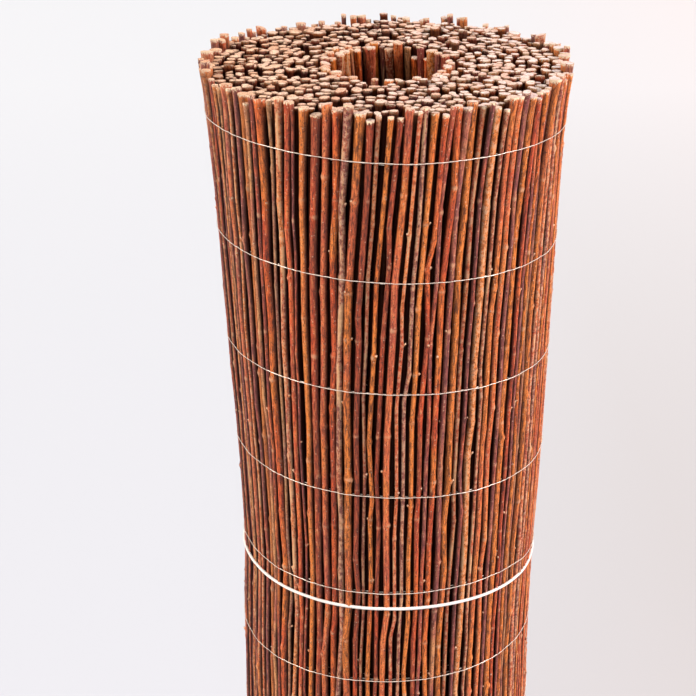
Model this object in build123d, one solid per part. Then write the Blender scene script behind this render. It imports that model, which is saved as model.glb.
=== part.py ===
"""Willow screening, rolled up and stood on end.

The screen is a mat of willow rods laid side by side. Rows of galvanised wire hold them: in each row a
straight wire runs behind the rods, and a second one passes in front of them. The mat is wound on itself
into a roll with an open middle, and a cord round its waist keeps it shut, so that both ends flare.

Millimetres, +Z up. The origin is on the axis of the open middle, at the level that the roll stands on.
Both ends of the mat lie at the back of the roll, on +Y.
"""

import math
import os

from build123d import *

# The mat
mat_height = 1000.0  # the rods' length, which is the height of the screen
rod_diameter = 6.2  # a rod of middling thickness, halfway up
rod_spread = 1.5  # how much thicker or thinner than that a rod may be
rod_taper = 0.12  # share by which a rod's thick end is thicker, and its thin end thinner
rod_gap = 0.5  # between neighbouring rods where the roll is tied
rod_sides = 5
rod_top_trim = 11.0  # the shortest rods end this far below the longest
rod_foot_low = 1.5  # the lowest rod ends stand this far above the floor
rod_foot_trim = 5.0  # and the highest this much above those

# The wire
wire_diameter = 0.9
wire_first = 45.0  # from the rods' upper end to the first row
wire_pitch = 100.0
wire_clearance = 0.15  # between a wire and what it touches
wire_runs = 24  # straight runs in one turn of the mat, of its wires and of the cord

# The roll
bore_radius = 40.0
turns = 11
turn_pitch = 9.2  # the mat's own thickness and the loose room between two turns
end_recess = 16.0  # the inner turns' top, below the longest rods
foot_swell = 1.05  # the roll's girth at the floor, as a share of its girth at the cord
shoulder_swell = 1.05  # the same at the first row of wire
top_swell = 1.10  # and at the very top, where no wire holds the rods

# The cord
cord_row = 5  # the row of wire that it is tied under, from the top
cord_drop = 15.0  # from that row down to the cord
cord_diameter = 2.8
cord_clearance = 0.15
cord_sides = 6
knot_length = 11.0
knot_diameter = 7.0
knot_place = 0.3  # share of the cord's straight stretch at the back, from the mat's outer end
tail_length = 32.0
tail_spread = 24.0  # degrees from one tail to the other

# What follows from them
quarter = turn_pitch / 4  # the spiral's two centres lie this far from the axis
shoulder_height = mat_height - wire_first
cord_height = shoulder_height - (cord_row - 1) * wire_pitch - cord_drop
outermost_radius = bore_radius + turn_pitch * turns
wire_seat = wire_diameter + 2 * wire_clearance  # room behind the rods for the straight wire
mat_thickness = wire_seat + rod_diameter
core_top = mat_height - end_recess
end_depth = wire_first - end_recess  # the gaps between the turns are open down to the first row of wire
stations = [
    (0.0, foot_swell),
    (cord_height, 1.0),
    (shoulder_height, shoulder_swell),
    (mat_height, top_swell),
]
golden = (math.sqrt(5) - 1) / 2  # its multiples, less their whole parts, are spread evenly and never repeat


def swell_at(z):
    """The roll's girth at height z, as a share of its girth at the cord."""
    for (low, low_swell), (high, high_swell) in zip(stations, stations[1:]):
        if z <= high:
            return low_swell + (high_swell - low_swell) * (z - low) / (high - low)
    return top_swell


def spread(index, seed):
    """A number from -1 to 1 that differs from piece to piece."""
    return 2 * ((index * golden + seed) % 1.0) - 1


def front_of_rods(z):
    """How far outside the mat's inner face the thickest rods reach at height z, whichever end they have up."""
    return wire_seat + (rod_diameter + rod_spread) * (1 + rod_taper * abs(2 * z / mat_height - 1))


def half_turn(number):
    """Centre height and radius of one half-turn of the mat's inner face, at the cord.

    Two centres in turn make a spiral of true arcs: each half-turn is a half circle whose radius is larger
    than the last by the distance between the centres.
    """
    centre_y = -quarter if number % 2 == 0 else quarter
    return centre_y, bore_radius + quarter * (1 + 2 * number)


def spiral_point(turn, swell, stand_off):
    """A point on the spiral after that many turns, stand_off outside it, and the way out from the mat there."""
    number = min(int(turn * 2), 2 * turns - 1)
    centre_y, radius = half_turn(number)
    angle = math.radians(90 + 360 * turn)
    outward = Vector(math.cos(angle), math.sin(angle), 0)
    return Vector(0, centre_y * swell, 0) + outward * (radius * swell + stand_off), outward


def spiral_corners(first, last, swell, stand_off):
    """The corners of the straight runs from one whole turn to another, stand_off outside the spiral."""
    steps = range(first * wire_runs, last * wire_runs + 1)
    return [spiral_point(step / wire_runs, swell, stand_off)[0] for step in steps]


def dip(turn):
    """How far a straight run lies inside its corners' circle there, as a share of the circle's radius."""
    from_middle = (turn * wire_runs) % 1 - 0.5
    return 1 - math.cos(math.pi / wire_runs) / math.cos(2 * math.pi * from_middle / wire_runs)


def outer_outline(swell):
    """The face that the inner turns fill: one turn of the spiral, closed by the step where the mat goes on."""
    return make_face(Polyline(*spiral_corners(turns - 1, turns, swell, 0), close=True))


def coiled_outline(swell):
    """The mat's own section through every inner turn, from its start to where the outermost turn begins."""
    inner = spiral_corners(0, turns - 1, swell, 0)
    outer = spiral_corners(0, turns - 1, swell, mat_thickness)
    return make_face(Polyline(*inner, *reversed(outer), close=True))


def inner_turns():
    """The turns that lie inside the outermost one, solid but for the open middle and the gaps at both ends."""
    heights = (end_depth, cord_height, shoulder_height)
    body = loft([Pos(0, 0, z) * outer_outline(swell_at(z)) for z in heights], ruled=True)
    body += extrude(Pos(0, 0, end_depth) * coiled_outline(swell_at(end_depth)), -end_depth)
    body += extrude(Pos(0, 0, shoulder_height) * coiled_outline(shoulder_swell), core_top - shoulder_height)
    return body - Cylinder(bore_radius, mat_height, align=(Align.CENTER, Align.CENTER, Align.MIN))


def rod_thickness(index):
    return rod_diameter + rod_spread * spread(index, 0.37)


def rod_places():
    """How many turns along the mat each rod of the outermost turn stands, with its thickness.

    The rods are laid one after another along the turn at the cord, and share out what is left of it as gaps.
    """
    middle = wire_seat + rod_diameter / 2
    lengths = [math.pi * (half_turn(n)[1] + middle) for n in (2 * turns - 2, 2 * turns - 1)]
    count = int(sum(lengths) / (rod_diameter + rod_gap))
    widths = [rod_thickness(i) for i in range(count)]
    gap = (sum(lengths) - sum(widths)) / count
    places, along = [], 0.0
    for width in widths:
        at = along + (width + gap) / 2
        half = 0 if at < lengths[0] else 1
        part = at / lengths[0] if half == 0 else (at - lengths[0]) / lengths[1]
        places.append((turns - 1 + (half + part) / 2, width))
        along += width + gap
    return places


def rod(index, turn, width):
    """One willow rod, seated on the runs of the wire behind it and leaning with the roll's flare.

    Two rods in three stand thick end up.
    """
    thick_end = -1 if index % 3 == 2 else 1
    foot = rod_foot_low + rod_foot_trim * (1 + spread(index, 0.71)) / 2
    top = mat_height - rod_top_trim * (1 - spread(index, 0.13)) / 2
    sections = []
    for z in (foot, cord_height, shoulder_height, top):
        across = width * (1 + thick_end * rod_taper * (2 * z / mat_height - 1))
        seat = wire_seat - dip(turn) * outermost_radius * swell_at(z)
        centre, outward = spiral_point(turn, swell_at(z), seat + across / 2)
        plane = Plane(origin=centre + Vector(0, 0, z), x_dir=outward, z_dir=(0, 0, 1))
        sections.append(plane * RegularPolygon(across / 2, rod_sides))
    return loft(sections, ruled=True)


def wire_turn(z, stand_off):
    """One turn of wire round the mat at height z, in straight runs, stand_off outside the mat's inner face."""
    swell = swell_at(z)
    inner, outer = [], []
    for run in range(wire_runs + 1):
        point, outward = spiral_point(turns - 1 + run / wire_runs, swell, stand_off)
        inner.append(point)
        outer.append(point + outward * wire_diameter)
    face = make_face(Polyline(*inner, *reversed(outer), close=True))
    return extrude(Pos(0, 0, z - wire_diameter / 2) * face, wire_diameter)


def cord_section(place, out):
    """The cord's section where it passes that place, with one corner outwards."""
    plane = Plane(origin=place, x_dir=out, z_dir=Vector(0, 0, 1).cross(out))
    return plane * RegularPolygon(cord_diameter / 2, cord_sides)


def tie_cord():
    """The cord round the waist, its knot where it bridges the step at the mat's outer end, and two tails."""
    stand_off = front_of_rods(cord_height) + cord_clearance + cord_diameter / 2
    start_radius = half_turn(2 * turns - 2)[1] + stand_off
    landing = math.acos(start_radius / (start_radius + turn_pitch)) / (2 * math.pi)
    rise = Vector(0, 0, cord_height)
    corners = [landing, *(run / wire_runs for run in range(wire_runs + 1) if run / wire_runs > landing)]
    places = []
    for corner in corners:
        point, out = spiral_point(turns - 1 + corner, 1, stand_off)
        places.append((point + rise, out))
    landed, outer_end = places[0][0], places[-1][0]
    along = (landed - outer_end).normalized()
    knot_at = outer_end + (landed - outer_end) * knot_place
    knot_out = along.cross(Vector(0, 0, 1))
    places = [(knot_at, knot_out), *places, (knot_at, knot_out)]
    cord = loft([cord_section(place, out) for place, out in places], ruled=True)
    knot = Cylinder(knot_diameter / 2, knot_length)
    knot = chamfer(knot.edges().filter_by(GeomType.CIRCLE), knot_diameter / 4)
    cord += Plane(origin=knot_at, z_dir=along) * knot
    for side in (-1, 1):
        lean = math.radians(tail_spread / 2) * side
        down = Vector(0, 0, -math.cos(lean)) + along * math.sin(lean)
        tail = Plane(origin=knot_at, z_dir=down) * RegularPolygon(cord_diameter / 2, cord_sides)
        cord += extrude(tail, tail_length)
    return cord


def wire_rows():
    """The heights of the rows of wire, from the top down."""
    rows = int(shoulder_height / wire_pitch) + 1
    return [shoulder_height - row * wire_pitch for row in range(rows)]


os.makedirs("parts", exist_ok=True)
export_step(inner_turns(), "parts/inner_turns.step")

rods = [rod(index, turn, width) for index, (turn, width) in enumerate(rod_places())]
print("rods in the outermost turn", len(rods))
export_step(Compound(children=[one.solid() for one in rods]), "parts/outer_turn_rods.step")

for row, z in enumerate(wire_rows(), start=1):
    export_step(wire_turn(z, wire_clearance), f"parts/back_wire_{row:02d}.step")
    export_step(wire_turn(z, front_of_rods(z) + wire_clearance), f"parts/front_wire_{row:02d}.step")

export_step(tie_cord(), "parts/tie_cord.step")
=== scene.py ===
# %% [markdown]
# # A roll of willow screening
#
# The object is a garden screen: a mat of about a thousand willow rods, held side by side by ten rows of
# wire, rolled up, stood on end and tied round its waist with a white cord. This lesson dresses the packed
# CAD model, in metres and in its own frame, with the origin on the roll's axis at the floor.

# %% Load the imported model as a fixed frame
import math
import random

import bmesh
import bpy
import numpy as np
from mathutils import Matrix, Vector


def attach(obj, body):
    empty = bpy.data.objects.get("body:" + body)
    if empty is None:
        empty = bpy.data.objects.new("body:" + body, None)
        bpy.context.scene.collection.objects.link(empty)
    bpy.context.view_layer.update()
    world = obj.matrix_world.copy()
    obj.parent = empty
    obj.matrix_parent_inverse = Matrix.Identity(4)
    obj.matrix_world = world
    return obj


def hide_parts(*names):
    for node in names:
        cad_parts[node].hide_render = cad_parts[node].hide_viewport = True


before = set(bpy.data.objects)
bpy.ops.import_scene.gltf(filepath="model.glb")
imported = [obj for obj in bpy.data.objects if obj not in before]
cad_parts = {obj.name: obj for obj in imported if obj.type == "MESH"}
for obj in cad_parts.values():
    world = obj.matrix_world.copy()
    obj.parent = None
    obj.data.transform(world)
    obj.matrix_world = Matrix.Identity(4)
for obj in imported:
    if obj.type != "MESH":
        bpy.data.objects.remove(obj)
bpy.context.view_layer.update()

# %% [markdown]
# ## The camera comes first
#
# The picture is taken from a little above the roll's top, looking down on it, so that the cut ends show as
# a speckled disc. The lens and the tilt were fitted to the rows of wire, which are 100 mm apart. The small
# sideways shift puts the roll where the picture has it.

# %% Camera
picture_width = 696.0
focal_length = 1423.0  # both in pixels of the picture
tilt_down = 24.07
lens = bpy.data.cameras.new("camera")
lens.sensor_width = 36.0
lens.lens = 36.0 * focal_length / picture_width
lens.shift_x = -0.0510
camera = bpy.data.objects.new("camera", lens)
camera.location = (0.0, -1.21, 1.271)
camera.rotation_euler = (math.radians(90.0 - tilt_down), 0.0, 0.0)
bpy.context.scene.collection.objects.link(camera)
bpy.context.scene.camera = camera
print("lens", round(lens.lens, 1), "mm")

# %% [markdown]
# ## Colours
#
# Hex colours are easy to read off a screen, but shaders work in linear light. One small helper turns the
# first into the second, so that every colour below can be written the way a painter would note it.


# %% Colour helper
def colour(code):
    """A hex colour as the linear red, green, blue and alpha that a shader takes."""
    parts = [int(code[i : i + 2], 16) / 255 for i in (0, 2, 4)]
    return tuple(p / 12.92 if p <= 0.04045 else ((p + 0.055) / 1.055) ** 2.4 for p in parts) + (1.0,)


print("tan bark", [round(c, 3) for c in colour("C0793F")])

# %% [markdown]
# ## A small kit for shader nodes
#
# Materials are graphs of nodes. These helpers add a node with its settings and join it to others, so that a
# finish below reads from top to bottom like a recipe. A node group is made once and placed in each material
# that needs its effect.


# %% Shader helpers
def put(tree, kind, **values):
    """Adds a node. A value that is a socket is linked to the input of that name, and others are set."""
    node = tree.nodes.new(kind)
    for name, value in values.items():
        plain = name.replace("_", " ")
        target = None if hasattr(node, name) else node.inputs[plain]
        if target is None:
            setattr(node, name, value)
        elif isinstance(value, bpy.types.NodeSocket):
            tree.links.new(value, target)
        else:
            target.default_value = value
    return node


def sums(tree, operation, first, second):
    """One step of arithmetic on two numbers or sockets."""
    node = tree.nodes.new("ShaderNodeMath")
    node.operation = operation
    for socket, value in zip(node.inputs, (first, second)):
        if isinstance(value, bpy.types.NodeSocket):
            tree.links.new(value, socket)
        else:
            socket.default_value = value
    return node.outputs[0]


def remap(tree, value, low, high, to_low=0.0, to_high=1.0):
    """Stretches the part of a number between low and high, and holds it flat outside them."""
    node = put(tree, "ShaderNodeMapRange", Value=value)
    for name, number in (("From Min", low), ("From Max", high), ("To Min", to_low), ("To Max", to_high)):
        node.inputs[name].default_value = number
    return node.outputs[0]


def blend_colours(tree, share, first, second, how="MIX"):
    """Mixes two colours by a share from 0 to 1."""
    node = tree.nodes.new("ShaderNodeMix")
    node.data_type = "RGBA"
    node.blend_type = how
    for socket, value in ((node.inputs[0], share), (node.inputs[6], first), (node.inputs[7], second)):
        if isinstance(value, bpy.types.NodeSocket):
            tree.links.new(value, socket)
        else:
            socket.default_value = value
    return node.outputs[2]


def ramp(tree, factor, stops):
    """A row of colours, each at its place from 0 to 1."""
    node = tree.nodes.new("ShaderNodeValToRGB")
    while len(node.color_ramp.elements) < len(stops):
        node.color_ramp.elements.new(0.5)
    for element, (place, code) in zip(node.color_ramp.elements, stops):
        element.position = place
        element.color = colour(code)
    tree.links.new(factor, node.inputs[0])
    return node.outputs[0]


def attribute(tree, name):
    """A vector that was stored on the mesh."""
    return put(tree, "ShaderNodeAttribute", attribute_name=name).outputs["Vector"]


def parts_of(tree, vector):
    """The three numbers of a vector."""
    return put(tree, "ShaderNodeSeparateXYZ", Vector=vector).outputs


def noise(tree, way, scale, detail=2.0, roughness=0.5):
    """Cloudy noise from 0 to 1, with that many clouds in a metre."""
    node = put(tree, "ShaderNodeTexNoise", Vector=way, Scale=scale, Detail=detail, Roughness=roughness)
    return node.outputs[0]


def start_material(name):
    """A new material with its shader and its output, as (material, tree, shader)."""
    material = bpy.data.materials.new(name)
    material.use_nodes = True
    tree = material.node_tree
    tree.nodes.clear()
    shader = tree.nodes.new("ShaderNodeBsdfPrincipled")
    output = tree.nodes.new("ShaderNodeOutputMaterial")
    tree.links.new(shader.outputs[0], output.inputs["Surface"])
    return material, tree, shader


print("shader helpers ready")

# %% [markdown]
# ## Floor and light
#
# A pale floor and soft light from both sides suit rods: each one gets a bright edge and a dark gap beside
# it, which is what makes a thousand of them readable. Two suns with wide discs stand low on the left and the
# right, so that the floor is evenly bright and no shadow has a hard edge. A weak one stands behind, and a
# soft box above the camera lights the cut ends.
#
# The floor looks paler to the camera than to the light that it throws back, and so does the world, because
# light from all around would fill the dark gaps between the rods. Near the roll the floor is painted a little
# darker towards the right, as a painted soft shadow of the roll. Far away the floor takes on the colour of
# the sky, so that hardly any horizon shows.

# %% Floor
floor_mesh = bpy.data.meshes.new("floor")
sheet = bmesh.new()
bmesh.ops.create_grid(sheet, x_segments=1, y_segments=1, size=30.0)
sheet.to_mesh(floor_mesh)
sheet.free()
floor = bpy.data.objects.new("floor", floor_mesh)
bpy.context.scene.collection.objects.link(floor)
floor_paint, tree, shader = start_material("floor_paint")
spot = put(tree, "ShaderNodeTexCoord").outputs["Object"]
place = parts_of(tree, spot)
distance = put(tree, "ShaderNodeVectorMath", operation="LENGTH", Vector=spot).outputs["Value"]
# Painted shadow: near the roll the floor is darker towards the right, like the roll's soft shadow.
near_paint_shadowed = blend_colours(tree, remap(tree, place[0], -0.2, 0.5), colour("C3C9D1"), colour("B8B8BB"))
far_paint = blend_colours(tree, remap(tree, place[0], 0.2, 1.8), colour("CCD3D9"), colour("D5D3D6"))
paint = blend_colours(tree, remap(tree, place[1], 0.2, 4.0), near_paint_shadowed, far_paint)
paint = blend_colours(tree, remap(tree, distance, 7.5, 14.0), paint, colour("CDD3D8"))
seen = put(tree, "ShaderNodeLightPath").outputs["Is Camera Ray"]
tree.links.new(blend_colours(tree, seen, colour("B8B8BA"), paint), shader.inputs["Base Color"])
shader.inputs["Roughness"].default_value = 0.9
shader.inputs["Specular IOR Level"].default_value = 0.0
floor_mesh.materials.append(floor_paint)
print("floor ready")

# %% Lights
world = bpy.data.worlds.new("studio")
world.use_nodes = True
sky = world.node_tree
sky.nodes["Background"].inputs[0].default_value = (0.98, 0.985, 1.0, 1.0)
glow_as_light = 0.20
glow_in_gloss = 0.60
glow_for_camera = 0.93
ray = put(sky, "ShaderNodeLightPath").outputs
mirrored = remap(sky, ray["Is Glossy Ray"], 0.0, 1.0, glow_as_light, glow_in_gloss)
seen = remap(sky, ray["Is Camera Ray"], 0.0, 1.0, 0.0, glow_for_camera)
sky.links.new(sums(sky, "MAXIMUM", seen, mirrored), sky.nodes["Background"].inputs[1])
bpy.context.scene.world = world

for side, azimuth, height, power, tint in (
    ("left", -75, 30, 3.34, "FFF3E8"),
    ("right", 78, 28, 4.46, "FFF1EE"),
    ("back", 168, 42, 0.70, "FFFFFF"),
):
    sun = bpy.data.lights.new(f"sun_{side}", "SUN")
    sun.energy = power
    sun.angle = math.radians(20)
    sun.color = colour(tint)[:3]
    lamp = bpy.data.objects.new(f"sun_{side}", sun)
    turn_to, rise = math.radians(azimuth), math.radians(height)
    level = math.cos(rise)
    towards = Vector((math.sin(turn_to) * level, -math.cos(turn_to) * level, math.sin(rise)))
    lamp.rotation_euler = towards.to_track_quat("Z", "Y").to_euler()
    bpy.context.scene.collection.objects.link(lamp)

box = bpy.data.lights.new("soft_box", "AREA")
box.energy = 8.6
box.size = 1.0
box_lamp = bpy.data.objects.new("soft_box", box)
box_lamp.location = (-0.25, -1.55, 1.95)
aimed_at = Vector((0, 0, 0.85))
box_lamp.rotation_euler = (box_lamp.location - aimed_at).to_track_quat("Z", "Y").to_euler()
bpy.context.scene.collection.objects.link(box_lamp)

bpy.context.scene.view_settings.view_transform = "Standard"

# %% [markdown]
# ## The roll's measurements
#
# The scene repeats the values that the CAD source is built from, in metres. The mat is wound on a spiral
# that changes between two centres every half turn, and its girth swells from the cord towards both ends.
# Three things are read from the picture and aren't in the CAD: how the girth grows from row to row, how far
# the roll leans to the right, and how each row of wire slants.

# %% Measurements
mat_height = 1.0
rod_width = 0.0062
rod_spread = 0.0015
rod_gap = 0.0005
wire_width = 0.0009
wire_clearance = 0.00015
wire_runs = 24
bore_radius = 0.040
turns = 11
turn_pitch = 0.0092
cord_width = 0.0028
cord_drop = 0.015
quarter = turn_pitch / 4
wire_seat = wire_width + 2 * wire_clearance
outermost_radius = bore_radius + turn_pitch * turns
first_row = 0.955
row_pitch = 0.1
row_heights = [first_row - row_pitch * row for row in range(10)]
row_slants = {  # how far a row rises at the roll's left side, its right side, its far right and its front
    0: (0.0090, 0.0, 0.0, 0.0),
    1: (0.0085, -0.0056, 0.0, 0.0),
    2: (0.0050, -0.0075, -0.002, 0.0),
    3: (0.0040, -0.0085, -0.002, 0.0),
    4: (0.0010, -0.0035, -0.0160, 0.0),
    5: (0.0, 0.0, 0.0, 0.0050),
}
cord_height = row_heights[4] - cord_drop
golden = (math.sqrt(5) - 1) / 2
print("rows of wire at", [round(z, 3) for z in row_heights], "and the cord at", round(cord_height, 3))


# %% The spiral
def swell_at(height):
    """The roll's girth at a height, or at several, as a share of the CAD's girth at the cord."""
    heights = (0.0, cord_height, 0.655, 0.755, 0.855, 0.905, 0.955, mat_height)
    return np.interp(height, heights, (1.05, 0.990, 1.013, 1.039, 1.060, 1.076, 1.084, 1.122))


def sway_at(height):
    """How far the roll leans to the right at a height, or at several, in metres."""
    heights = (0.0, 0.45, 0.50, 0.55, 0.65, 0.75, 0.90, mat_height)
    return np.interp(height, heights, (0.0, 0.0006, 0.0022, 0.0040, 0.0042, 0.0026, 0.0009, 0.0003))


def on_mat(turn, height, stand_off):
    """Where the mat's inner face is after that many turns, moved out by stand_off. All may be arrays."""
    turn = np.asarray(turn, float)
    number = np.minimum((turn * 2).astype(int), 2 * turns - 1)
    centre_y = np.where(number % 2 == 0, -quarter, quarter)
    radius = bore_radius + quarter * (1 + 2 * number)
    angle = np.radians(90 + 360 * turn)
    swell = swell_at(height)
    reach = radius * swell + stand_off
    return np.cos(angle) * reach + sway_at(height), np.sin(angle) * reach + centre_y * swell


def row_at(row, angle):
    """How high a row of wire runs at an angle round the roll, because a mat is never wound quite level."""
    left, right, far_right, front = row_slants.get(row, (0.001, -0.001, 0.0, 0.0))
    leftness, rightness = max(0.0, -math.cos(angle)), max(0.0, math.cos(angle))
    slant = left * leftness + right * rightness + far_right * rightness**6
    return row_heights[row] + slant + front * max(0.0, -math.sin(angle)) ** 3


def flat_dip(turn):
    """How far a straight run of wire lies inside its corners' circle, as a share of the radius."""
    from_middle = (turn * wire_runs) % 1 - 0.5
    return 1 - math.cos(math.pi / wire_runs) / math.cos(2 * math.pi * from_middle / wire_runs)


def spread(index, seed):
    """A number from -1 to 1 that differs from rod to rod."""
    return 2 * ((index * golden + seed) % 1.0) - 1


for turn in (0, turns - 1, turns):
    away = float(np.hypot(*on_mat(turn, cord_height, 0)))
    print("after", turn, "turns the mat is", round(away, 4), "m out")

# %% [markdown]
# ## Where each rod stands
#
# Rods are laid one after another along the spiral, as a machine feeds them between the wires. The outermost
# turn keeps the CAD's own places. Further in, the same rule fills the turns with rods that are only seen by
# their ends.


# %% Rod places
def lay_rods(first_half, last_half, first_index):
    """The places of the rods between two half turns, as (index, turn, width)."""
    middle = wire_seat + rod_width / 2
    lengths = [math.pi * (bore_radius + quarter * (1 + 2 * n) + middle) for n in range(first_half, last_half)]
    count = int(sum(lengths) / (rod_width + rod_gap))
    widths = [rod_width + rod_spread * spread(first_index + i, 0.37) for i in range(count)]
    gap = (sum(lengths) - sum(widths)) / count
    ends = np.cumsum([0.0, *lengths])
    places = []
    along = 0.0
    for i, width in enumerate(widths):
        at = along + (width + gap) / 2
        half = min(int(np.searchsorted(ends, at, side="right")) - 1, len(lengths) - 1)
        part = (at - ends[half]) / lengths[half]
        places.append((first_index + i, (first_half + half + part) / 2, width))
        along += width + gap
    return places


outer_places = lay_rods(2 * turns - 2, 2 * turns, 0)
inner_places = lay_rods(0, 2 * turns - 2, len(outer_places))
print("rods in the outermost turn", len(outer_places), "and inside it", len(inner_places))

# %% [markdown]
# ## Rod tops jostle for room
#
# Above the first row of wire nothing holds the rods, and their thick butt ends push each other apart. Sixty
# rounds of pushing overlapping pairs away from each other give the uneven, packed disc of a real roll,
# which no regular pattern does.
#
# Higher up, the rods have also slipped round the roll a little, so that they lean. In the picture they lean
# most at the front, and somewhat more again to the right of it.


# %% Lean and jostle
most_lean = 0.027
lean_start = 0.55
lean_span = 0.45
front_place = 266  # both in degrees round the roll, anticlockwise from above
right_place = 312


def lean_of(angle, height):
    """How far rods have slipped round the roll, anticlockwise from above, at an angle and a height."""
    from_front = (np.degrees(angle) - front_place + 180) % 360 - 180
    from_right = (np.degrees(angle) - right_place + 180) % 360 - 180
    share = 0.38 + 0.5 * np.exp(-((from_front / 26) ** 2)) + 0.15 * np.exp(-((from_right / 20) ** 2))
    return most_lean * share * (np.clip(height - lean_start, 0, None) / lean_span) ** 2


chance = random.Random(7)
all_places = outer_places + inner_places
butt_up = [index % 3 != 2 for index, _, _ in all_places]
tip_swell = 1.07
widest_tip = 0.0101
slimness = []
tip_width = []
for (index, _, width), thick in zip(all_places, butt_up):
    if index < len(outer_places):
        slim = chance.triangular(0.50, 1.10, 0.77)
    else:
        slim = chance.triangular(0.60, 1.12, 0.86)
    if thick:
        butt = chance.triangular(1.15, 1.65, 1.38)
    else:
        butt = chance.uniform(1.05, 1.35)
    slimness.append(slim)
    tip_width.append(min(width * slim * butt * tip_swell, widest_tip))
tip_width = np.array(tip_width)

turn_of = np.array([turn for _, turn, _ in all_places])
angle_of = np.radians(90 + 360 * turn_of)
start_x, start_y = on_mat(turn_of, mat_height, wire_seat + tip_width / 2)
slip = lean_of(angle_of, mat_height)
start = np.stack([start_x - np.sin(angle_of) * slip, start_y + np.cos(angle_of) * slip], 1)
looseness = 0.0013
loose = np.array([(chance.gauss(0, looseness), chance.gauss(0, looseness)) for _ in all_places])
tops = start + loose
room_inwards = 0.0006  # the innermost rods may lean this far into the open middle
room_outwards = 0.0025  # and the outermost this far out
furthest = 0.0065  # from where the mat puts a top to where it ends up
push_share = 0.35  # of an overlap is undone in one round
rounds = 60
nothing = 1e-9
nearest = np.hypot(*start.T) - room_inwards
outermost = np.where(turn_of >= turns - 1, np.hypot(*start.T) + room_outwards, 1.0)
for _ in range(rounds):
    apart = tops[:, None, :] - tops[None, :, :]
    distance = np.sqrt((apart**2).sum(2)) + nothing
    wanted = (tip_width[:, None] + tip_width[None, :]) * 0.5
    push = np.clip(wanted - distance, 0, None)
    np.fill_diagonal(push, 0)
    tops += (apart / distance[:, :, None] * push[:, :, None] * push_share).sum(1)
    moved = tops - start
    far = np.sqrt((moved**2).sum(1))
    tops = start + moved * np.minimum(1, furthest / np.maximum(far, nothing))[:, None]
    reach = np.hypot(*tops.T)
    held = np.where(turn_of < 1.1, np.maximum(reach, nearest), np.minimum(reach, outermost))
    tops *= (held / reach)[:, None]
splay = tops - start
print("tops moved by up to", round(float(np.abs(splay).max()) * 1000, 1), "mm")

# %% [markdown]
# ## A blank rod
#
# Every rod starts as a blank: a cylinder one high and one in radius, cut across into rings, with a smaller
# ring set into its upper face for the end grain. Its rings are moved to one rod's heights, widths and bends,
# that shape is copied, and the blank goes on to the next rod. Visible rods have more rings than hidden ones.


# %% Blank
def blank_rod(name, sides, rings):
    """A straight rod with that many sides and bands, as (mesh, ring of each corner, angle, reach)."""
    shape = bmesh.new()
    bmesh.ops.create_cone(shape, cap_ends=True, segments=sides, radius1=1, radius2=1, depth=1)
    bmesh.ops.translate(shape, verts=shape.verts, vec=(0, 0, 0.5))
    uprights = [e for e in shape.edges if abs(e.verts[0].co.z - e.verts[1].co.z) > 0.5]
    bmesh.ops.subdivide_edges(shape, edges=uprights, cuts=rings - 1)
    upper = [f for f in shape.faces if f.calc_center_median().z > 0.999]
    bmesh.ops.inset_region(shape, faces=upper, thickness=0.25, use_even_offset=False)
    for face in shape.faces:
        face.smooth = 0.001 < face.calc_center_median().z < 0.999
        face.material_index = 0 if face.smooth else 1
    mesh = bpy.data.meshes.new(name)
    shape.to_mesh(mesh)
    shape.free()
    for label in ("bark_way", "rod_tone", "rod_mark"):
        mesh.attributes.new(label, "FLOAT_VECTOR", "POINT")
    corners = np.empty(len(mesh.vertices) * 3, np.float32)
    mesh.vertices.foreach_get("co", corners)
    corners = corners.reshape(-1, 3)
    ring = np.rint(corners[:, 2] * rings).astype(int)
    return mesh, ring, np.arctan2(corners[:, 1], corners[:, 0]), np.hypot(corners[:, 0], corners[:, 1])


outer_sides = 10
knots_per_rod = 15
outer_rings = 3 * knots_per_rod + 5
inner_heights = (0.0, 0.54, 0.72, 0.86, 0.955, 0.985, 1.0)
outer_blank = blank_rod("outer_blank", outer_sides, outer_rings)
inner_blank = blank_rod("inner_blank", 7, len(inner_heights) - 1)
print("faces of a blank", len(outer_blank[0].polygons), "and", len(inner_blank[0].polygons))

# %% [markdown]
# ## Shaping one rod
#
# A willow rod tapers from butt to tip, thickens a little at every knot, and bends there too. The rod is
# seated on the runs of the wire behind it, as in the CAD, slips round the roll as it rises, and splays
# above the first row of wire. Three vectors are stored on its corners for the materials: the rod's own
# coordinates, its tones, and marks for the cut end, the scars and a painted shade for the light it gets.


# %% Rod shape
front_line = 0.0066  # from the wire behind the rods to their fronts
splay_start = 0.90
flare_start = 0.93
flare_span = 0.07
steepest_cut = 0.28
end_lift = 0.0002  # the middle of a cut end stands this far above its rim
any_angle = 6.3  # random directions are drawn from 0 to this, in radians


def centre_of(number, height, across):
    """The middle line of a rod at some heights, before its own small bends."""
    _, turn, _ = all_places[number]
    seat = wire_seat - flat_dip(turn) * outermost_radius * swell_at(height)
    x, y = on_mat(turn, height, seat + front_line - across / 2)
    angle = angle_of[number]
    slip = lean_of(angle, height)
    free = np.clip((height - splay_start) / (mat_height - splay_start), 0, 1) ** 1.6
    x = x - math.sin(angle) * slip + splay[number, 0] * free
    y = y + math.cos(angle) * slip + splay[number, 1] * free
    return x, y


def widths_of(number, height):
    """How wide a rod is at some heights, without its knots."""
    _, _, width = all_places[number]
    low_share, high_share = (0.90, 1.20) if butt_up[number] else (1.12, 0.96)
    low_end = width * slimness[number] * low_share
    high_end = width * slimness[number] * high_share
    body = low_end + (high_end - low_end) * height
    flare = np.clip((height - flare_start) / flare_span, 0, 1) ** 1.5
    return body + (tip_width[number] - body) * flare


def store(mesh, corners, way, tone, marks):
    """Moves a blank's corners, and writes down what the bark needs to know of each."""
    mesh.vertices.foreach_set("co", corners.astype(np.float32).ravel())
    for label, values in (("bark_way", way), ("rod_tone", tone), ("rod_mark", marks)):
        mesh.attributes[label].data.foreach_set("vector", values.astype(np.float32).ravel())
    return mesh


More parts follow.
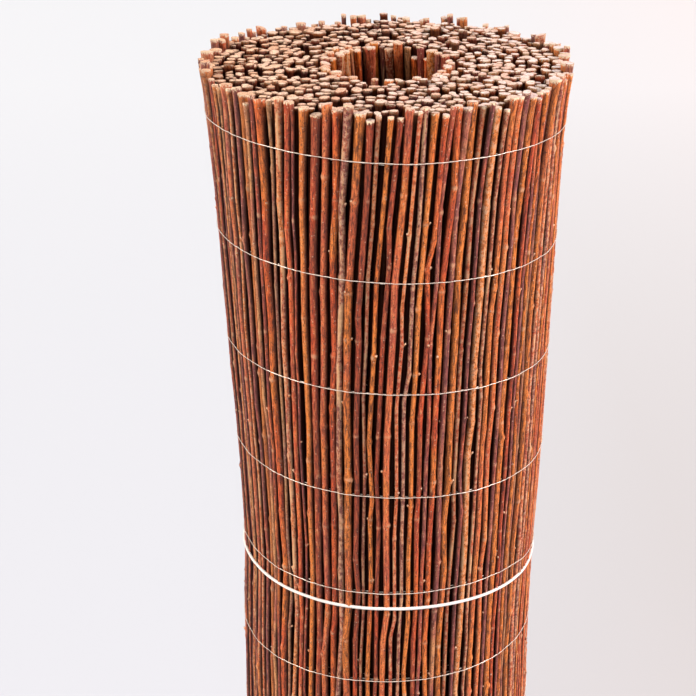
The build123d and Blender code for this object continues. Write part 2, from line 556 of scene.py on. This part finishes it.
def shape_rod(blank, number, heights, across, x, y, fray, marks):
    """The blank in one rod's shape: a little oval, cut off at a slant, with its own place in the bark."""
    mesh, ring, angle, reach = blank
    dice = random.Random(1000 + number)
    oval = 0.05 * np.cos(2 * angle + dice.uniform(0, any_angle))
    lobes = 0.03 * np.cos(3 * angle + dice.uniform(0, any_angle))
    radius = across[ring] / 2 * reach * (1 + oval + lobes) * fray
    local = np.stack([np.cos(angle) * radius, np.sin(angle) * radius], 1)
    z = heights[ring].copy()
    last = ring == ring.max()
    cut = steepest_cut * dice.random() ** 2
    cut_way = dice.uniform(0, 2 * math.pi)
    z[last] += (local[last, 0] * math.cos(cut_way) + local[last, 1] * math.sin(cut_way)) * cut
    z[last & (reach < 0.9)] += end_lift
    corners = np.stack([x[ring] + local[:, 0], y[ring] + local[:, 1], z], 1)
    offset = np.array([dice.uniform(-5, 5) for _ in range(3)])
    way = np.stack([local[:, 0], local[:, 1], z], 1) + offset
    shade_place = (number * golden + dice.uniform(-0.09, 0.09)) % 1.0
    tone = np.tile([shade_place, dice.random(), dice.random()], (len(ring), 1))
    return store(mesh, corners, way, tone, marks)


def bundle_up(name, shapes):
    """One object of many rods. All share one blank, so each is copied before the next is shaped."""
    bundle = bmesh.new()
    for shape in shapes:
        bundle.from_mesh(shape)
    mesh = bpy.data.meshes.new(name)
    bundle.to_mesh(mesh)
    bundle.free()
    piece = bpy.data.objects.new(name, mesh)
    bpy.context.scene.collection.objects.link(piece)
    return piece


print("rod 0 is", round(float(widths_of(0, 0.5)) * 1000, 2), "mm across at half its height")

# %% [markdown]
# ## The rods of the outermost turn
#
# These carry the picture, so each gets fifteen knots at its own heights, with a bud scar on one side, a kink,
# a flared butt and a torn rim of pale bast round its cut end. At some knots a snipped stub of a twig is left.
# They are one piece, as they are in the CAD.
#
# The gaps between real rods are deep and dark. A painted shade, stored on each rod, darkens its
# flanks, which gives such gaps. On the left of the picture it is the flank towards the middle that is
# darkened most. Some rods lie deeper than their neighbours, and more of them on the left; their painted
# shade is darker. Within 16 mm of each top the painted shade lifts, as light reaches the tips.
#
# The tops stand higher at the back and at the far left, as in the picture, and rise and fall in clusters.


# %% Outer rods
bare_foot = 0.02  # no knot this near to a rod's foot
bare_top = 0.05  # or to its top
stub_share = 0.18  # of the knots


def outer_rod(number):
    """The heights, widths and middle line of one visible rod, with its knots, as a dict of arrays."""
    dice = random.Random(number)
    foot = 0.0015 + 0.005 * (1 + spread(number, 0.71)) / 2
    back = 0.5 + 0.5 * math.sin(angle_of[number])
    cluster = 0.0028 * math.sin(number * 0.9) + 0.0018 * math.sin(number * 0.37 + 1)
    left_rise = 0.003 * max(0.0, -math.cos(angle_of[number]) - 0.6) / 0.4
    top = 0.9950 + 0.0038 * spread(number, 0.13) + cluster
    top = top + dice.uniform(-0.001, 0.002) + 0.009 * back + left_rise
    span = (top - bare_top - foot - bare_foot) / knots_per_rod
    knots = [foot + bare_foot + span * (k + 0.5 + dice.uniform(-0.42, 0.42)) for k in range(knots_per_rod)]
    heights = [foot, foot + 0.0025]
    swelling = [0.96, 1.0]
    knot = [0.0, 0.0]
    for at in knots:
        size = dice.triangular(0.02, 0.26, 0.06)
        heights += [at - 0.0045, at, at + 0.004]
        swelling += [1.0 + size * 0.15, 1.0 + size, 1.0 - size * 0.1]
        knot += [0.0, 1.0, 0.0]
    heights += [top - 0.02, top - 0.009, top - 0.0032, top]
    swelling += [1.0, 1.0, 1.03, 1.07]
    knot += [0.0, 0.0, 0.0, 0.0]
    heights = np.array(heights)
    across = widths_of(number, heights) * np.array(swelling)
    leftness = max(0.0, -math.cos(angle_of[number]))
    # Deep rods are set in further, and dress_rod gives them a darker painted shade.
    deep = dice.random() < 0.13 + 0.20 * leftness**3
    inward = dice.uniform(0.0010, 0.0018) if deep else dice.uniform(0.0, 0.0004)
    x, y = centre_of(number, heights, widths_of(number, heights) + 2 * inward)
    kink_at = [foot, *knots, top]
    first_way = dice.choice((0, 1))
    round_way = [dice.gauss(0.0006, 0.0007) * (-1 if (k + first_way) % 2 else 1) for k in range(len(kink_at))]
    out_way = [-abs(dice.gauss(0, 0.0005)) for _ in kink_at]
    aside = np.interp(heights, kink_at, round_way)
    outward = np.interp(heights, kink_at, out_way)
    angle = angle_of[number]
    x += -math.sin(angle) * aside + math.cos(angle) * outward
    y += math.cos(angle) * aside + math.sin(angle) * outward
    return {
        "heights": heights,
        "across": across,
        "x": x,
        "y": y,
        "knot": np.array(knot),
        "knots": knots,
        "deep": deep,
    }


def dress_rod(number, rod, blank):
    """The blank in the shape of one visible rod."""
    mesh, ring, angle, reach = blank
    dice = random.Random(5000 + number)
    fray = np.ones(len(ring))
    scar = rod["knot"][ring] * 0.30
    for k in range(knots_per_rod):
        bud = np.clip(np.cos(angle - dice.uniform(0, any_angle)), 0, 1) ** 4
        at_knot = ring == 3 + 3 * k
        fray[at_knot] += 0.35 * bud[at_knot] * dice.random()
        scar[at_knot] += 0.65 * bud[at_knot] + dice.choice((0.0, 0.0, 0.35, 0.5))
    last = ring == ring.max()
    rim = last & (reach > 0.9)
    fray[rim] += np.array([dice.uniform(-0.08, 0.10) for _ in range(int(rim.sum()))])
    cut = np.where(ring == ring.max() - 1, 0.25, 0.0)
    cut[last | (ring == 0)] = 1.0
    cut[rim] = dice.uniform(0.45, 0.85)
    # Painted shade: a stored shade darkens the flanks of each rod, most on the front-facing flank on the
    # left.
    leftness = max(0.0, -math.cos(angle_of[number]))
    rightness = max(0.0, math.cos(angle_of[number]))
    from_front = angle - angle_of[number]
    least = 0.26 + 0.12 * leftness - 0.06 * rightness
    facing = np.clip((np.cos(from_front) - least) / (0.90 - least - 0.06 * leftness), 0, 1)
    shade = 0.06 + (0.64 if rod["deep"] else 0.94) * facing * facing * (3 - 2 * facing)
    inner_flank = np.clip((leftness - rightness) * np.sin(from_front), 0, 1)
    shade *= 1 - (0.50 if leftness > rightness else 0.10) * inner_flank
    # Painted light: near the top the painted shade lifts, as light reaches the tips.
    lit_near_top = np.clip((rod["heights"][ring] - rod["heights"][-1] + 0.016) / 0.014, 0, 1)
    shade = np.maximum(shade, lit_near_top * 0.65)
    marks = np.stack([cut, scar, shade], 1)
    return shape_rod(blank, number, rod["heights"], rod["across"], rod["x"], rod["y"], fray, marks)


def rod_at(rod, height):
    """The middle and the width of a visible rod at one height."""
    return [float(np.interp(height, rod["heights"], rod[key])) for key in ("x", "y", "across")]


def dress_stub(number, rod, knot, blank):
    """A short stub of a side twig, snipped off at one knot of a visible rod."""
    mesh, ring, angle, reach = blank
    dice = random.Random(7000 + 20 * number + knot)
    height = rod["knots"][knot]
    x, y, across = rod_at(rod, height)
    side = angle_of[number] + dice.choice((-1, 1)) * dice.uniform(0.5, 1.5)
    aim = Vector((math.cos(side), math.sin(side), dice.uniform(0.9, 1.9))).normalized()
    wide = aim.orthogonal().normalized()
    other = aim.cross(wide)
    length, width = dice.uniform(0.0016, 0.0034), dice.uniform(0.0006, 0.0011)
    base = Vector((x, y, height)) + Vector((math.cos(side), math.sin(side), 0)) * across * 0.42
    spots = []
    for k in range(len(ring)):
        out = wide * math.cos(angle[k]) + other * math.sin(angle[k])
        rise = aim * length * ring[k] / ring.max()
        spots.append(base + rise + out * reach[k] * width * (1.2 - 0.2 * ring[k]))
    spots = np.array(spots)
    way = spots + dice.uniform(-5, 5)
    tone = np.tile([(number * golden) % 1.0, 0.8, dice.random()], (len(ring), 1))
    # Painted shade: the stubs are stored almost fully lit, at 0.9.
    marks = np.stack([ring / ring.max() * 0.7, np.full(len(ring), 0.5), np.full(len(ring), 0.9)], 1)
    return store(mesh, spots, way, tone, marks)


outer_rods = [outer_rod(number) for number in range(len(outer_places))]
stub_blank = blank_rod("stub_blank", 6, 2)
stubs = [[knot for knot in range(knots_per_rod) if chance.random() < stub_share] for _ in outer_rods]
print("stubs of side twigs", sum(len(knots) for knots in stubs))


def outer_shapes():
    """Every visible rod in turn, each followed by its stubs."""
    for number, rod in enumerate(outer_rods):
        yield dress_rod(number, rod, outer_blank)
        for knot in stubs[number]:
            yield dress_stub(number, rod, knot, stub_blank)


outer_piece = bundle_up("outer_rods", outer_shapes())
print("outer rods", len(outer_rods), "with", len(outer_piece.data.polygons), "faces")

# %% [markdown]
# ## The rods inside
#
# Hundreds of rods are seen by their ends alone, or as dark shapes through the gaps, so each has only a few
# dozen faces. Their tops stand at uneven heights, higher at the back, and some well below the others. Below
# the tips a painted shade makes them nearly black, except round the open middle, where light falls in. Just
# under the tips the painted shade is lighter, a little more so towards the right.


# %% Inner rods
disc_tilt = 0.035  # how much higher the tops stand for each metre towards the back


def inner_rod(number, blank):
    """The blank in the shape of one rod of the inner turns."""
    mesh, ring, angle, reach = blank
    dice = random.Random(9000 + number)
    foot = max(0.0, 0.006 * dice.random() - 0.001)
    top = 0.9977 + dice.gauss(0, 0.0010) + disc_tilt * tops[number, 1]
    odd = dice.random()
    if odd < 0.07:
        top -= dice.uniform(0.003, 0.012)
    elif odd > 0.95:
        top += dice.uniform(0.002, 0.005)
    heights = foot + (top - foot) * np.array(inner_heights)
    heights[-2] = top - 0.003
    across = widths_of(number, heights)
    across[-1] *= 1.05
    x, y = centre_of(number, heights, across)
    fray = np.ones(len(ring))
    last = ring == ring.max()
    rim = last & (reach > 0.9)
    fray[rim] += np.array([dice.uniform(-0.12, 0.12) for _ in range(int(rim.sum()))])
    cut = np.where(last, 1.0, 0.0)
    cut[rim] = 0.6
    # Painted shade by height: near black low down, lighter under the tip, towards the right and round the
    # bore.
    right = float(np.clip(tops[number, 0] / 0.12, 0, 1))
    if turn_of[number] < 1.15:
        light = (0.02, 0.03, 0.15, 0.45, 0.65, 0.85)
    else:
        light = (0.02, 0.02, 0.02, 0.03, 0.05 + 0.04 * right, 0.30 + 0.16 * right)
    shade = np.interp(heights, (0.0, 0.9, 0.955, 0.985, top - 0.003, top), light)
    marks = np.stack([cut, np.zeros(len(ring)), shade[ring]], 1)
    return shape_rod(blank, number, heights, across, x, y, fray, marks)


inner_numbers = range(len(outer_places), len(all_places))
inner_piece = bundle_up("inner_rods", (inner_rod(number, inner_blank) for number in inner_numbers))
print("inner rods", len(inner_places), "with", len(inner_piece.data.polygons), "faces")

# %% [markdown]
# ## Fine grain, shared by bark and cut wood
#
# Bark and end wood both have fine fibres. The group stretches a noise along the rod, which gives long
# streaks on the bark. It reads the rod's own coordinates, so the fibres follow each bend.

# %% Grain group
grain = bpy.data.node_groups.new("rod_grain", "ShaderNodeTree")
grain.interface.new_socket("Way", in_out="INPUT", socket_type="NodeSocketVector")
grain.interface.new_socket("Across", in_out="INPUT", socket_type="NodeSocketFloat")
grain.interface.new_socket("Along", in_out="INPUT", socket_type="NodeSocketFloat")
grain.interface.new_socket("Streak", in_out="OUTPUT", socket_type="NodeSocketFloat")
grain.interface.new_socket("Speckle", in_out="OUTPUT", socket_type="NodeSocketFloat")
inside = put(grain, "NodeGroupInput").outputs
parts = parts_of(grain, inside["Way"])
stretched = put(
    grain,
    "ShaderNodeCombineXYZ",
    X=sums(grain, "MULTIPLY", parts[0], inside["Across"]),
    Y=sums(grain, "MULTIPLY", parts[1], inside["Across"]),
    Z=sums(grain, "MULTIPLY", parts[2], inside["Along"]),
).outputs[0]
streak = noise(grain, stretched, 1.0, 3.0, 0.6)
speckle = noise(grain, inside["Way"], 1400.0, 2.0, 0.7)
put(grain, "NodeGroupOutput", Streak=streak, Speckle=speckle)


def grain_on(tree, way, across, along):
    """Places the grain group with its own values, as (streak, speckle)."""
    node = tree.nodes.new("ShaderNodeGroup")
    node.node_tree = grain
    tree.links.new(way, node.inputs["Way"])
    node.inputs["Across"].default_value = across
    node.inputs["Along"].default_value = along
    return node.outputs["Streak"], node.outputs["Speckle"]


print("grain group has", len(grain.nodes), "nodes")

# %% [markdown]
# ## Willow bark
#
# Bundles of willow are never one brown. Each rod gets its own tone from a row of colours: brick red, orange
# tan, ochre, red brown and mauve. The tone drifts along the rod. Over it lie streaks, dark flecks, pale
# pores, pale scars at the knots and a torn pale rim at the cut. Some rods are weathered, with a mottled
# skin, and here and there a strip of bark has peeled off. Last, the stored painted shade darkens the bark
# towards a near black red brown.


# %% Bark
def bark(name, gloss):
    """Willow bark. Rods deep in the roll get less gloss, because no light reaches them to be reflected."""
    material, tree, shader = start_material(name)
    way = attribute(tree, "bark_way")
    tones = parts_of(tree, attribute(tree, "rod_tone"))
    mark = parts_of(tree, attribute(tree, "rod_mark"))
    streak, speckle = grain_on(tree, way, 800.0, 110.0)
    drift = noise(tree, way, 16.0)
    tone_place = sums(tree, "ADD", tones[0], remap(tree, drift, 0.3, 0.7, -0.13, 0.13))
    base = ramp(
        tree,
        tone_place,
        (
            (0.00, "A44628"),
            (0.07, "B64828"),
            (0.15, "CE5026"),
            (0.24, "E06A2A"),
            (0.36, "E27E2E"),
            (0.50, "DE7A34"),
            (0.60, "D4663A"),
            (0.68, "BC563C"),
            (0.76, "944842"),
            (0.84, "8E4C48"),
            (0.91, "B86650"),
            (1.00, "D2925E"),
        ),
    )
    streaked = remap(tree, streak, 0.36, 0.64, -0.35, 0.35)
    lightness = sums(tree, "ADD", remap(tree, tones[1], 0, 1, -0.18, 0.16), streaked)
    lifted = blend_colours(tree, remap(tree, lightness, 0.05, 0.5, 0.0, 0.6), base, colour("F0AA6E"))
    toned = blend_colours(tree, remap(tree, lightness, -0.02, -0.45, 0.0, 0.85), lifted, colour("3E160D"))
    fleck_noise, _ = grain_on(tree, way, 850.0, 520.0)
    flecks = remap(tree, fleck_noise, 0.55, 0.63)
    flecked = blend_colours(tree, sums(tree, "MULTIPLY", flecks, 0.75), toned, colour("421A10"))
    patches = noise(tree, way, 300.0, 3.0, 0.7)
    weathered = remap(tree, tones[1], 0.74, 0.84)
    pale = sums(tree, "MULTIPLY", remap(tree, patches, 0.50, 0.58, 0.0, 0.60), weathered)
    dark = sums(tree, "MULTIPLY", remap(tree, patches, 0.47, 0.40, 0.0, 0.60), weathered)
    mottled = blend_colours(tree, pale, flecked, colour("D2AC8C"))
    mottled = blend_colours(tree, dark, mottled, colour("5C3226"))
    pores = put(tree, "ShaderNodeTexVoronoi", Vector=way, Scale=240.0, Randomness=1.0).outputs["Distance"]
    pored = blend_colours(tree, remap(tree, pores, 0.20, 0.10, 0.0, 0.55), mottled, colour("E6BC9C"))
    scarred = blend_colours(tree, remap(tree, mark[1], 0.45, 1.0, 0.0, 0.7), pored, colour("D9A680"))
    strips, _ = grain_on(tree, way, 260.0, 28.0)
    peel = sums(tree, "ADD", strips, remap(tree, tones[1], 0.5, 1.0, -0.12, 0.03))
    peeled = blend_colours(tree, remap(tree, peel, 0.59, 0.63, 0.0, 0.75), scarred, colour("DEAE80"))
    torn = sums(tree, "ADD", mark[0], remap(tree, fleck_noise, 0.35, 0.65, -0.25, 0.25))
    rim = remap(tree, torn, 0.40, 0.60)
    bark_colour = blend_colours(tree, rim, peeled, colour("EED2AE"))
    # Painted shade: the stored shade blends the bark towards a near black red brown in gaps and hidden
    # flanks.
    shaded = blend_colours(tree, mark[2], colour("240501"), bark_colour)
    tree.links.new(shaded, shader.inputs["Base Color"])
    tree.links.new(remap(tree, streak, 0.3, 0.7, 0.40, 0.60), shader.inputs["Roughness"])
    shader.inputs["Specular IOR Level"].default_value = gloss
    relief = sums(tree, "ADD", sums(tree, "MULTIPLY", streak, 0.7), sums(tree, "MULTIPLY", speckle, 0.3))
    bump = put(tree, "ShaderNodeBump", Height=relief, Strength=0.8, Distance=0.0008)
    tree.links.new(bump.outputs[0], shader.inputs["Normal"])
    print(name, "has", len(tree.nodes), "nodes")
    return material


willow_bark = bark("willow_bark", 0.45)
shaded_bark = bark("shaded_bark", 0.10)

# %% [markdown]
# ## Cut wood
#
# The ends are cut across, so they show pale wood with a brown rim, worn and stained in places, with a rough,
# fibrous surface. The shade changes from rod to rod with age. Towards the roll's right side, as in the
# picture, the wood is lighter and a little bluer, with fainter wear and stain marks.

# %% Cut ends
cut_wood, tree, shader = start_material("cut_wood")
way = attribute(tree, "bark_way")
tones = parts_of(tree, attribute(tree, "rod_tone"))
edge = parts_of(tree, attribute(tree, "rod_mark"))[0]
streak, speckle = grain_on(tree, way, 1500.0, 400.0)
wood = ramp(tree, tones[2], ((0.0, "F2C6A6"), (0.35, "FCE2C6"), (0.7, "FFF4E4"), (1.0, "FADCCA")))
place = parts_of(tree, put(tree, "ShaderNodeTexCoord").outputs["Object"])
# Towards the roll's right the cut wood is lighter and bluer, with fainter wear and stain marks.
rightward = remap(tree, place[0], -0.16, 0.16)
clean = remap(tree, rightward, 0.3, 1.0, 1.0, 0.50)
wear = sums(tree, "MULTIPLY", remap(tree, speckle, 0.47, 0.60, 0.0, 0.75), clean)
worn = blend_colours(tree, wear, wood, colour("8A5036"))
blotch = noise(tree, way, 420.0)
stains = sums(tree, "MULTIPLY", remap(tree, blotch, 0.52, 0.62, 0.0, 0.6), clean)
stained = blend_colours(tree, stains, worn, colour("945A44"))
fibres = blend_colours(tree, remap(tree, streak, 0.5, 0.62, 0.0, 0.55), stained, colour("FFEEDC"))
tint = blend_colours(tree, rightward, colour("F4E0CA"), colour("EEF0FF"))
tinted = blend_colours(tree, 1.0, fibres, tint, "MULTIPLY")
end_colour = blend_colours(tree, remap(tree, edge, 0.62, 0.85), colour("8E5440"), tinted)
tree.links.new(end_colour, shader.inputs["Base Color"])
shader.inputs["Roughness"].default_value = 0.85
bump = put(tree, "ShaderNodeBump", Height=streak, Strength=0.8, Distance=0.0008)
tree.links.new(bump.outputs[0], shader.inputs["Normal"])

for piece, node, skin in (
    (outer_piece, "outer_turn_rods", willow_bark),
    (inner_piece, "inner_turns", shaded_bark),
):
    piece.data.materials.append(skin)
    piece.data.materials.append(cut_wood)
    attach(piece, "root")
    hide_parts(node)
print("cut wood has", len(tree.nodes), "nodes")

# %% [markdown]
# ## Galvanised wire
#
# Zinc is pale and a little cloudy. It is only partly metal here, because fine wire with a dull skin looks
# whiter than a clean mirror. A slightly uneven roughness breaks the highlight up along the wire.

# %% Wire material
galvanised_wire, tree, shader = start_material("galvanised_wire")
cloud = noise(tree, put(tree, "ShaderNodeTexCoord").outputs["Object"], 500.0)
zinc = blend_colours(tree, remap(tree, cloud, 0.35, 0.65), colour("DCCDBE"), colour("F8EEE2"))
tree.links.new(zinc, shader.inputs["Base Color"])
shader.inputs["Metallic"].default_value = 0.40
tree.links.new(remap(tree, cloud, 0.3, 0.7, 0.25, 0.45), shader.inputs["Roughness"])
print("wire material has", len(tree.nodes), "nodes")

# %% [markdown]
# ## Wires
#
# In each row a straight wire runs behind the rods. A second, thinner one passes over the front of every rod
# and sinks a little into each gap, where a thicker spot stands for its hook round the straight one. It is
# pulled taut, so it bridges the rods that lie deep. The straight wire runs a little lower, where the second
# one hides it from the camera, as in the picture. Both are curves with a round section, because a wire is a
# line before it is a surface.


# %% Wire curves
def wire_curve(name, lines, width, material, smooth=False, sides=6, thick=None):
    """A piece of wire through each list of points. thick gives each point's own share of the width."""
    curve = bpy.data.curves.new(name, "CURVE")
    curve.dimensions = "3D"
    curve.bevel_depth = width / 2
    curve.bevel_resolution = (sides - 4) // 2
    curve.use_fill_caps = True
    for points in lines:
        line = curve.splines.new("NURBS" if smooth else "POLY")
        line.points.add(len(points) - 1)
        line.points.foreach_set("co", [c for p in points for c in (*p, 1.0)])
        if thick:
            line.points.foreach_set("radius", thick)
        if smooth:
            line.order_u = 3
            line.use_endpoint_u = True
            line.resolution_u = 2
    curve.materials.append(material)
    piece = bpy.data.objects.new(name, curve)
    bpy.context.scene.collection.objects.link(piece)
    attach(piece, "root")
    return piece


core_drop = 0.0034
binding_drop = 0.0008
binding_share = 0.68  # how thin the binding wire is beside the straight one
binding_dip = 0.0005  # how far it sinks into a gap


def binding_line(row):
    """The path of the taut wire that passes over the front of every rod of the outermost turn."""
    dice = random.Random(300 + row)
    middles, fronts = [], []
    for number, rod in enumerate(outer_rods):
        height = row_at(row, angle_of[number])
        x, y, across = rod_at(rod, height)
        middles.append(Vector((x, y, height)))
        fronts.append(math.hypot(x, y) + across / 2)
    fronts = np.array(fronts)
    for _ in range(4):
        beside = (np.roll(fronts, 1) + np.roll(fronts, -1)) / 2
        beside[[0, -1]] = 0.0
        fronts = np.maximum(fronts, beside)
    path = []
    for middle, front in zip(middles, fronts):
        out = Vector((middle.x, middle.y, 0)).normalized()
        path.append(out * (front + wire_width * 0.25) + Vector((0, 0, middle.z - binding_drop)))
    points, thick = [path[0]], [1.0]
    for this, following in zip(path, path[1:]):
        between = (this + following) / 2
        inward = Vector((between.x, between.y, 0)).normalized() * -binding_dip
        points += [between + inward + Vector((0, 0, dice.uniform(-0.0003, 0.0003))), following]
        thick += [dice.choice((1.0, 1.3, 1.7)), 1.0]
    return points, thick


for row, height in enumerate(row_heights):
    straight = []
    for step in range(wire_runs * 4 + 1):
        turn = turns - 1 + step / (wire_runs * 4)
        dip = flat_dip(turn) * outermost_radius * float(swell_at(height))
        x, y = on_mat(turn, height, wire_clearance + wire_width / 2 - dip)
        z = row_at(row, math.radians(90 + 360 * turn)) - core_drop
        straight.append((float(x), float(y), z))
    core = wire_curve(f"core_wire_{row + 1:02d}", [straight], wire_width, galvanised_wire)
    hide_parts(f"back_wire_{row + 1:02d}")
    path, thick = binding_line(row)
    thin = wire_width * binding_share
    name = f"binding_wire_{row + 1:02d}"
    binding = wire_curve(name, [path], thin, galvanised_wire, smooth=True, thick=thick)
    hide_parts(f"front_wire_{row + 1:02d}")
coils = []
for height in row_heights:
    coil = [on_mat(step / wire_runs, height, wire_seat / 2) for step in range((turns - 1) * wire_runs + 1)]
    coils.append([(float(x), float(y), height) for x, y in coil])
inner_wires = wire_curve("inner_wires", coils, wire_width, galvanised_wire, sides=4)
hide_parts("inner_turns")
print("rows of wire", len(row_heights))

# %% [markdown]
# ## The cord round the waist
#
# A white plastic cord is drawn tight and knotted at the back, over the step where the mat ends. It presses
# into the rods that stand out and bridges the others, so it is a smooth ring. It runs lower on the right, as
# in the picture. The knot is one loop of the same cord drawn round both strands, and two tails hang from it.

# %% Cord material
white_cord, tree, shader = start_material("white_cord")
fuzz = noise(tree, put(tree, "ShaderNodeTexCoord").outputs["Object"], 900.0)
white = blend_colours(tree, remap(tree, fuzz, 0.35, 0.65), colour("E9E5E0"), colour("F8F5F1"))
tree.links.new(white, shader.inputs["Base Color"])
shader.inputs["Roughness"].default_value = 0.5
bump = put(tree, "ShaderNodeBump", Height=fuzz, Strength=0.3, Distance=0.0004)
tree.links.new(bump.outputs[0], shader.inputs["Normal"])
print("cord material has", len(tree.nodes), "nodes")

# %% Cord
cord_sag = 0.0015
right_drop = 0.0040
far_right_drop = 0.0095
pressed_in = 0.0013
cord_low = cord_height - cord_sag
first_radius = bore_radius + quarter * (1 + 2 * (2 * turns - 2)) + front_line + cord_width
landing = math.acos(first_radius / (first_radius + turn_pitch)) / (2 * math.pi)
under = [number for number in range(len(outer_rods)) if turn_of[number] > turns - 1 + landing]
seats, ways = [], []
for number in under:
    x, y, across = rod_at(outer_rods[number], cord_low)
    way_out = Vector((x, y, 0)).normalized()
    pressed = pressed_in + pressed_in * max(0.0, way_out.x) ** 6
    seats.append(math.hypot(x, y) + across / 2 + cord_width / 2 - pressed)
    ways.append(way_out)
taut = [max(seats[max(i - 1, 0) : i + 2]) for i in range(len(seats))]
loop = []
for i, way_out in enumerate(ways):
    near = taut[max(i - 3, 0) : i + 4]
    rightness = max(0.0, way_out.x)
    low_there = cord_low - right_drop * rightness - far_right_drop * rightness**3
    loop.append(way_out * (sum(near) / len(near)) + Vector((0, 0, low_there)))
knot_at = loop[-1].lerp(loop[0], 0.3)
along = (loop[0] - loop[-1]).normalized()
loop = [knot_at, *loop, knot_at]
outward = along.cross(Vector((0, 0, 1)))
tails = []
for side, length, curl in ((-1, 0.031, 0.004), (1, 0.025, -0.002)):
    tail = [knot_at + outward * 0.001]
    for down, aside, out in ((0.22, 0.0030, 0.0032), (0.60, 0.0048, 0.0024), (1.0, 0.0048 + curl, 0.0014)):
        tail.append(knot_at - Vector((0, 0, length * down)) + along * side * aside + outward * out)
    tails.append(tail)
wrap = []
wrap_length = 0.006
wrap_radius = 0.0024
for step in range(25):
    turned = 2 * math.pi * step / 12
    wrap.append(
        knot_at
        + along * (step / 24 - 0.5) * wrap_length
        + outward * math.cos(turned) * wrap_radius
        + Vector((0, 0, 1)) * math.sin(turned) * wrap_radius
    )
cord = wire_curve("waist_cord", [loop, *tails, wrap], cord_width, white_cord, smooth=True, sides=12)
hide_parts("tie_cord")
cord_length = sum((b - a).length for a, b in zip(loop, loop[1:]))
print("cord round the waist is", round(cord_length, 3), "m long")
